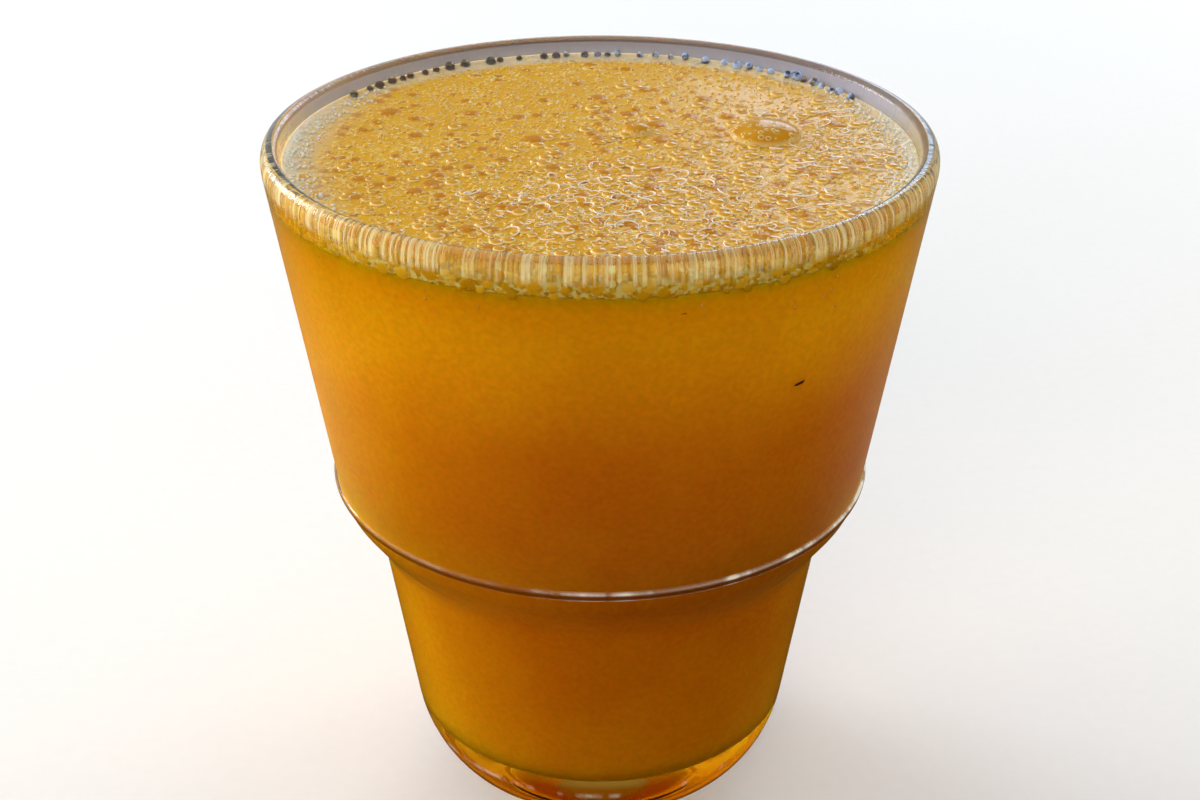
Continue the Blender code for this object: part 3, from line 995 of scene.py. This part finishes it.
def scatter(name, shape, tilt):
    """The tree that scatters a shape over the surface it's given, as thick as its crowding
    attribute says. Each copy knows how far up itself a point is, from -1 to 1."""
    tree = bpy.data.node_groups.new(name, "GeometryNodeTree")
    sockets = (
        ("Geometry", "INPUT", "NodeSocketGeometry"),
        ("Spacing", "INPUT", "NodeSocketFloat"),
        ("Smallest", "INPUT", "NodeSocketFloat"),
        ("Largest", "INPUT", "NodeSocketFloat"),
        ("Flatness", "INPUT", "NodeSocketFloat"),
        ("Seed", "INPUT", "NodeSocketInt"),
        ("Material", "INPUT", "NodeSocketMaterial"),
        ("Geometry", "OUTPUT", "NodeSocketGeometry"),
    )
    for name, side, kind in sockets:
        tree.interface.new_socket(name, in_out=side, socket_type=kind)
    given = add(tree, "NodeGroupInput").outputs
    crowding = add(tree, "GeometryNodeInputNamedAttribute", {"Name": "crowding"}, data_type="FLOAT")
    area = add(tree, "Math", (given["Spacing"], 2.0), operation="POWER")
    most = add(tree, "Math", (3.0, area), operation="DIVIDE")
    spots = add(
        tree,
        "GeometryNodeDistributePointsOnFaces",
        {
            "Mesh": given["Geometry"],
            "Distance Min": given["Spacing"],
            "Density Max": most,
            "Density Factor": crowding,
            "Seed": given["Seed"],
        },
        distribute_method="POISSON",
    )
    smooth = add(tree, "GeometryNodeSetShadeSmooth", (shape(tree),))
    place = add(tree, "GeometryNodeInputPosition")
    parts = add(tree, "SeparateXYZ", (place,))
    marked = add(
        tree,
        "GeometryNodeStoreNamedAttribute",
        {"Geometry": smooth, "Name": "bubble_rise", "Value": parts.outputs["Z"]},
        data_type="FLOAT",
        domain="POINT",
    )
    dice = add(tree, "FunctionNodeRandomValue", {8: given["Seed"]}, data_type="FLOAT")
    # More small ones than large ones
    often = add(tree, "Math", (dice, 2.0), operation="POWER")
    size = add(tree, "MapRange", {"Value": often, "To Min": given["Smallest"], "To Max": given["Largest"]})
    flat = add(tree, "CombineXYZ", (1.0, 1.0, given["Flatness"]))
    scale = add(tree, "VectorMath", (flat, size), operation="SCALE")
    turn = add(
        tree,
        "FunctionNodeRandomValue",
        {0: (-tilt, -tilt, 0.0), 1: (tilt, tilt, math.tau), 8: given["Seed"]},
        data_type="FLOAT_VECTOR",
    )
    copies = add(
        tree,
        "GeometryNodeInstanceOnPoints",
        {"Points": spots, "Instance": marked, "Rotation": turn, "Scale": scale},
    )
    real = add(tree, "GeometryNodeRealizeInstances", (copies,))
    done = add(tree, "GeometryNodeSetMaterial", {"Geometry": real, "Material": given["Material"]})
    add(tree, "NodeGroupOutput", (done,))
    return tree


def ring_surface(name, rows, sides, share):
    """A surface of revolution through (radius, height) rows, with a crowding value at each point."""
    mesh = bpy.data.meshes.new(name)
    points = []
    for radius, height in rows:
        for side in range(sides):
            angle = math.tau * side / sides
            points.append((radius * math.cos(angle), radius * math.sin(angle), height))
    faces = []
    for row in range(len(rows) - 1):
        for side in range(sides):
            after = (side + 1) % sides
            low, high = row * sides, (row + 1) * sides
            faces.append((low + side, low + after, high + after, high + side))
    mesh.from_pydata(points, [], faces)
    attribute = mesh.attributes.new("crowding", "FLOAT", "POINT")
    attribute.data.foreach_set("value", [share(*point) for point in points])
    return mesh


def grow(name, surface, tree, values):
    """The plain mesh that the tree makes of this surface with these inputs, as a piece."""
    piece = bpy.data.objects.new(name, surface)
    bpy.context.scene.collection.objects.link(piece)
    modifier = piece.modifiers.new("growth", "NODES")
    modifier.node_group = tree
    for item in tree.interface.items_tree:
        if item.in_out == "INPUT" and item.name in values:
            modifier[item.identifier] = values[item.name]
    graph = bpy.context.evaluated_depsgraph_get()
    made = bpy.data.meshes.new_from_object(piece.evaluated_get(graph))
    piece.modifiers.clear()
    piece.data = made
    if not made.polygons:
        raise RuntimeError(f"{name} came out empty")
    return piece


def bubble_material():
    """A small bubble in the froth: a deep golden cap over the juice, ringed with cream foam."""
    look = bpy.context.scene.juice_froth
    material, tree = new_material("froth_bubble_skin")
    rise = add(tree, "Attribute", attribute_name="bubble_rise").outputs["Fac"]
    ring = add(tree, "MapRange", (rise, 0.40, 0.62))
    place = add(tree, "TexCoord").outputs["Object"]
    patches = add(tree, "TexNoise", {"Vector": place, "Scale": 1 / (1.5 * MM), "Detail": 2.0})
    cap = add(tree, "Mix", (patches, look.cap_colour, look.gold_colour), data_type="RGBA")
    colour = add(tree, "Mix", (ring, look.film_and_highlight_colour, cap), data_type="RGBA")
    surface = add(
        tree,
        "BsdfPrincipled",
        {
            "Base Color": colour,
            "Roughness": 0.08,
            "IOR": 1.33,
            "Subsurface Weight": 0.25,
            "Subsurface Radius": FROTH_DEPTHS,
            "Subsurface Scale": 0.4 * MM,
        },
    )
    add(tree, "OutputMaterial", (surface,))
    return material


# The plain wet skins of the smallest bubbles: material, colour, roughness and index of refraction
PLAIN_SKINS = (
    # Tiny bubbles on the froth: pale golden foam, and wet
    ("fine_foam_bead", "F4D070", 0.12, 1.33),
    # Wet films that stand between bubbles: nearly white, and they glint
    ("standing_film", "FFF4E2", 0.1, 1.4),
    # The finest foam, where the froth thins against the glass: pale and wet
    ("pale_edge_foam", "E8E8E2", 0.12, 1.33),
    # Tiny air bubbles on the wall, lit through the juice: pale amber
    ("air_bubble_on_wall", "DDAA40", 0.2, 1.33),
)


def plain_skins():
    """The plain wet skins, by name."""
    skins = {}
    for name, code, roughness, ior in PLAIN_SKINS:
        skins[name], tree = new_material(name)
        look = {"Base Color": linear(code), "Roughness": roughness, "IOR": ior}
        surface = add(tree, "BsdfPrincipled", look)
        add(tree, "OutputMaterial", (surface,))
    return skins


class JUICE_OT_bubbles(bpy.types.Operator):
    """The small bubbles: on the froth, round its edge and on the glass below it"""

    bl_idname = "juice.bubbles"
    bl_label = "Small bubbles"

    def execute(self, context):
        sizes, look = context.scene.juice_glass, context.scene.juice_froth
        balls = scatter("scattered_bubbles", ball, 0.0)
        strands = scatter("scattered_strands", strand, 0.3)
        reach = wall_radius(sizes, look.level)
        inner = reach - 1.2 * MM
        top = [(inner * k / 12 + 0.01 * MM, look.level + 0.06 * MM) for k in range(13)]
        side = COARSE_SIDE.normalized()

        def to_front(x, y, _):
            return min(0.8, max(0.03, 0.32 + 0.7 * (x * side.x + y * side.y) / reach))

        def evenly(x, y, _):
            return 0.5

        row = [(reach - 0.45 * MM, look.level + 0.35 * MM), (reach - 0.35 * MM, look.level + 0.75 * MM)]

        def to_back(x, y, _):
            return 1.0 if y > 0.45 * reach else 0.0

        edge = [(reach - k * 1.1 * MM, look.level + (0.35 - 0.08 * k) * MM) for k in range(4)]

        def to_sides(x, y, _):
            inwards = (reach - math.hypot(x, y)) / (3.3 * MM)
            return max(0.0, (abs(x) / reach - 0.72) / 0.28) ** 0.5 * (1.0 - 0.6 * inwards)

        def to_web(x, y, _):
            near = max(0.0, 1.0 - math.hypot((x - 8 * MM) / 27, (y + 19 * MM) / 17) * 1000)
            right = max(0.0, 1.0 - math.hypot((x - 29 * MM) / 12, (y - 2 * MM) / 22) * 1000)
            return min(1.0, 1.4 * max(near, 0.8 * right))

        low, high = JUICE_LEVEL - 9 * MM, JUICE_LEVEL - 1.2 * MM
        wall = []
        for k in range(5):
            height = low + (high - low) * k / 4
            wall.append((wall_radius(sizes, height) + 0.10 * MM, height))

        def to_top(x, y, z):
            return 0.006 + 0.12 * max(0.0, (z - low) / (high - low)) ** 3

        cap, film, plain = bubble_material(), film_material(), plain_skins()
        groups = (
            # name, tree, surface, crowding, spacing, smallest, largest, flatness, material
            ("froth_bubbles", balls, top, to_front, 1.15, 0.40, 1.00, 0.36, cap),
            ("froth_beads", balls, top, evenly, 0.80, 0.12, 0.26, 0.9, plain["fine_foam_bead"]),
            ("froth_strands", strands, top, to_web, 0.85, 0.45, 1.30, 1.0, plain["standing_film"]),
            ("edge_foam", balls, edge, to_sides, 0.42, 0.11, 0.26, 0.9, plain["pale_edge_foam"]),
            ("edge_bubbles", balls, row, to_back, 1.20, 0.44, 0.74, 1.0, film),
            ("wall_bubbles", balls, wall, to_top, 0.90, 0.17, 0.27, 1.0, plain["air_bubble_on_wall"]),
        )
        for number, group in enumerate(groups):
            name, tree, rows, share, spacing, small, large, flatness, material = group
            values = {
                "Spacing": spacing * MM,
                "Smallest": small * MM,
                "Largest": large * MM,
                "Flatness": flatness,
                "Seed": look.seed + number,
                "Material": material,
            }
            piece = grow(name, ring_surface(name, rows, 96, share), tree, values)
            node = "juice" if name == "wall_bubbles" else "froth"
            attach(piece, BODY)
            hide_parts(node)
        return {"FINISHED"}


# Dark scraps on the juice behind the glass: angle from the front, height and length
SPECKS = ((37.2, 0.0705, 0.0017), (13.2, 0.0829, 0.0006))


class JUICE_OT_specks(bpy.types.Operator):
    """The dark scraps of husk that cling to the glass"""

    bl_idname = "juice.specks"
    bl_label = "Specks"

    def execute(self, context):
        sizes = context.scene.juice_glass
        draw = random.Random(context.scene.juice_froth.seed)
        mesh = bpy.data.meshes.new("husk_specks")
        shape = bmesh.new()
        for turn, height, length in SPECKS:
            ball = bmesh.ops.create_icosphere(shape, subdivisions=2, radius=1.0)
            out = wall_radius(sizes, height) + INTO_WALL
            turned_by = math.radians(turn)
            middle = Vector((out * math.sin(turned_by), -out * math.cos(turned_by), height))
            along = Vector((math.cos(turned_by), math.sin(turned_by), 0.0))
            away = Vector((math.sin(turned_by), -math.cos(turned_by), 0.0))
            for vertex in ball["verts"]:
                rough = 0.5 * length * draw.uniform(0.7, 1.15)
                x, y, z = vertex.co * rough
                vertex.co = middle + along * x + away * (0.2 * y) + Vector((0, 0, 0.24 * z + 0.12 * x))
        bmesh.ops.recalc_face_normals(shape, faces=shape.faces)
        shape.to_mesh(mesh)
        shape.free()
        piece = linked("husk_specks", mesh, speck_material())
        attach(piece, BODY)
        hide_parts("juice")
        return {"FINISHED"}


def dome_material():
    """The skin of a large bubble: golden froth seen through a wet clear film with fine beads."""
    look = bpy.context.scene.juice_froth
    material, tree = new_material("large_bubble_skin")
    place = add(tree, "TexCoord").outputs["Object"]
    beads = bubble_layer(tree, place, 0.9 * MM, (0.16 * MM, 0.40 * MM), 0.85)
    patches = add(tree, "TexNoise", {"Vector": place, "Scale": 1 / (1.8 * MM), "Detail": 2.0})
    colour = add(tree, "Mix", (patches, look.cell_colour, look.ground_colour), data_type="RGBA")
    colour = add(tree, "Mix", (beads[1], colour, look.film_and_highlight_colour), data_type="RGBA")
    height = add(tree, "SeparateXYZ", (place,)).outputs["Z"]
    foot = add(tree, "MapRange", (height, look.level + 0.70 * MM, look.level + 0.20 * MM, 0.0, 0.8))
    colour = add(tree, "Mix", (foot, colour, look.film_and_highlight_colour), data_type="RGBA")
    bump = add(tree, "Bump", {"Height": beads[2], "Strength": 1.0, "Distance": 1.0})
    surface = add(
        tree,
        "BsdfPrincipled",
        {
            "Base Color": colour,
            "Normal": bump,
            "Roughness": 0.12,
            "IOR": 1.33,
            "Specular IOR Level": 0.12,
            "Transmission Weight": 0.12,
            "Subsurface Weight": 0.3,
            "Subsurface Radius": FROTH_DEPTHS,
            "Subsurface Scale": 0.5 * MM,
        },
    )
    add(tree, "OutputMaterial", (surface,))
    return material


class JUICE_OT_domes(bpy.types.Operator):
    """The large bubbles that stand out of the froth"""

    bl_idname = "juice.domes"
    bl_label = "Large bubbles"

    def execute(self, context):
        look = context.scene.juice_froth
        material = dome_material()
        for number, (x, y, radius, height) in enumerate(BIG_BUBBLES):
            mesh = bpy.data.meshes.new(f"bubble_dome_{number}")
            shape = bmesh.new()
            ball = bmesh.ops.create_uvsphere(shape, u_segments=64, v_segments=40, radius=1.0)
            bmesh.ops.scale(shape, verts=ball["verts"], vec=(radius, radius, height))
            bmesh.ops.translate(shape, verts=shape.verts, vec=(x, y, look.level))
            shape.to_mesh(mesh)
            shape.free()
            mesh.shade_smooth()
            piece = linked(f"bubble_dome_{number}", mesh, material)
            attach(piece, BODY)
            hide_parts("froth")
        return {"FINISHED"}


class JUICE_OT_stage(bpy.types.Operator):
    """A white floor, soft studio light and the camera"""

    bl_idname = "juice.stage"
    bl_label = "Stage"

    def execute(self, context):
        scene = context.scene
        stage = scene.juice_stage
        mesh = bpy.data.meshes.new("studio_floor")
        shape = bmesh.new()
        bmesh.ops.create_circle(shape, cap_ends=True, segments=96, radius=5.0)
        shape.to_mesh(mesh)
        shape.free()
        floor = linked("studio_floor", mesh, stage_material())
        # The glass shows the dim room round it instead of the white floor, as the photograph's does
        floor.visible_glossy = False
        floor.visible_transmission = False
        lamps = (
            # name, width, place, power, colour, whether it mirrors in the glass
            ("window_left", 0.42, (-0.78, 0.55, 0.36), 5.0, "F0F5FF", True),
            ("window_back", 0.45, (0.28, 1.00, 0.50), 3.2, "CFE2FF", True),
            ("side_left", 0.40, (-0.85, 0.25, 0.22), 1.6, "FFF8E4", False),
            ("side_right", 0.40, (0.75, 0.45, 0.24), 3.0, "FFF8E4", False),
            ("low_left", 0.30, (-0.62, 0.05, 0.03), 2.8, "FFF8E4", False),
            ("low_right", 0.30, (0.60, -0.05, 0.03), 1.0, "FFF8E4", False),
            ("front_fill", 0.80, (-0.30, -1.00, 0.50), 7.0, "FFF0DC", False),
        )
        for name, width, place, power, colour, mirrors in lamps:
            light = bpy.data.lights.new(name, "AREA")
            light.energy = power
            light.color = linear(colour)[:3]
            light.size = width
            lamp = bpy.data.objects.new(name, light)
            lamp.location = place
            lamp.visible_camera = False
            lamp.visible_glossy = mirrors
            lamp.visible_transmission = mirrors
            aim = Vector((0.0, 0.0, 0.06)) - lamp.location
            lamp.rotation_euler = aim.to_track_quat("-Z", "Y").to_euler()
            scene.collection.objects.link(lamp)
        sky = bpy.data.lights.new("overhead", "SUN")
        sky.energy = 0.9
        sky.angle = math.radians(80)
        overhead = bpy.data.objects.new("overhead", sky)
        overhead.rotation_euler = (math.radians(-8), math.radians(-12), 0.0)
        overhead.visible_transmission = False
        scene.collection.objects.link(overhead)
        scene.world = room_world()
        scene.view_settings.view_transform = "Standard"
        data = bpy.data.cameras.new("camera")
        data.lens = stage.lens
        data.sensor_width = 36.0
        data.clip_start = 0.01
        camera = bpy.data.objects.new("camera", data)
        camera.location = (0.0, -stage.distance, stage.height)
        camera.rotation_euler = (math.pi / 2 - stage.pitch, 0.0, 0.0)
        scene.collection.objects.link(camera)
        scene.camera = camera
        return {"FINISHED"}


class JUICE_PT_panel(bpy.types.Panel):
    """The pieces of the glass of juice"""

    bl_idname = "JUICE_PT_panel"
    bl_label = "Glass of orange juice"
    bl_space_type = "VIEW_3D"
    bl_region_type = "UI"
    bl_category = "Juice"

    def draw(self, context):
        for operator in OPERATORS:
            self.layout.operator(operator.bl_idname)
        for name in SETTINGS:
            box = self.layout.box()
            settings = getattr(context.scene, name)
            for setting in settings.bl_rna.properties:
                if not setting.is_readonly and setting.identifier != "name":
                    box.prop(settings, setting.identifier)


SETTINGS = {
    "juice_glass": GlassSettings,
    "juice_drink": DrinkSettings,
    "juice_froth": FrothSettings,
    "juice_stage": StageSettings,
}
OPERATORS = (
    JUICE_OT_tumbler,
    JUICE_OT_juice,
    JUICE_OT_froth,
    JUICE_OT_domes,
    JUICE_OT_bubbles,
    JUICE_OT_specks,
    JUICE_OT_stage,
)


def register():
    for name, group in SETTINGS.items():
        bpy.utils.register_class(group)
        setattr(bpy.types.Scene, name, PointerProperty(type=group))
    for operator in OPERATORS:
        bpy.utils.register_class(operator)
    bpy.utils.register_class(JUICE_PT_panel)


def unregister():
    bpy.utils.unregister_class(JUICE_PT_panel)
    for operator in reversed(OPERATORS):
        bpy.utils.unregister_class(operator)
    for name, group in SETTINGS.items():
        delattr(bpy.types.Scene, name)
        bpy.utils.unregister_class(group)


def main():
    register()
    bpy.ops.juice.tumbler()
    bpy.ops.juice.juice()
    bpy.ops.juice.froth()
    bpy.ops.juice.domes()
    bpy.ops.juice.bubbles()
    bpy.ops.juice.specks()
    bpy.ops.juice.stage()


if __name__ == "__main__":
    main()
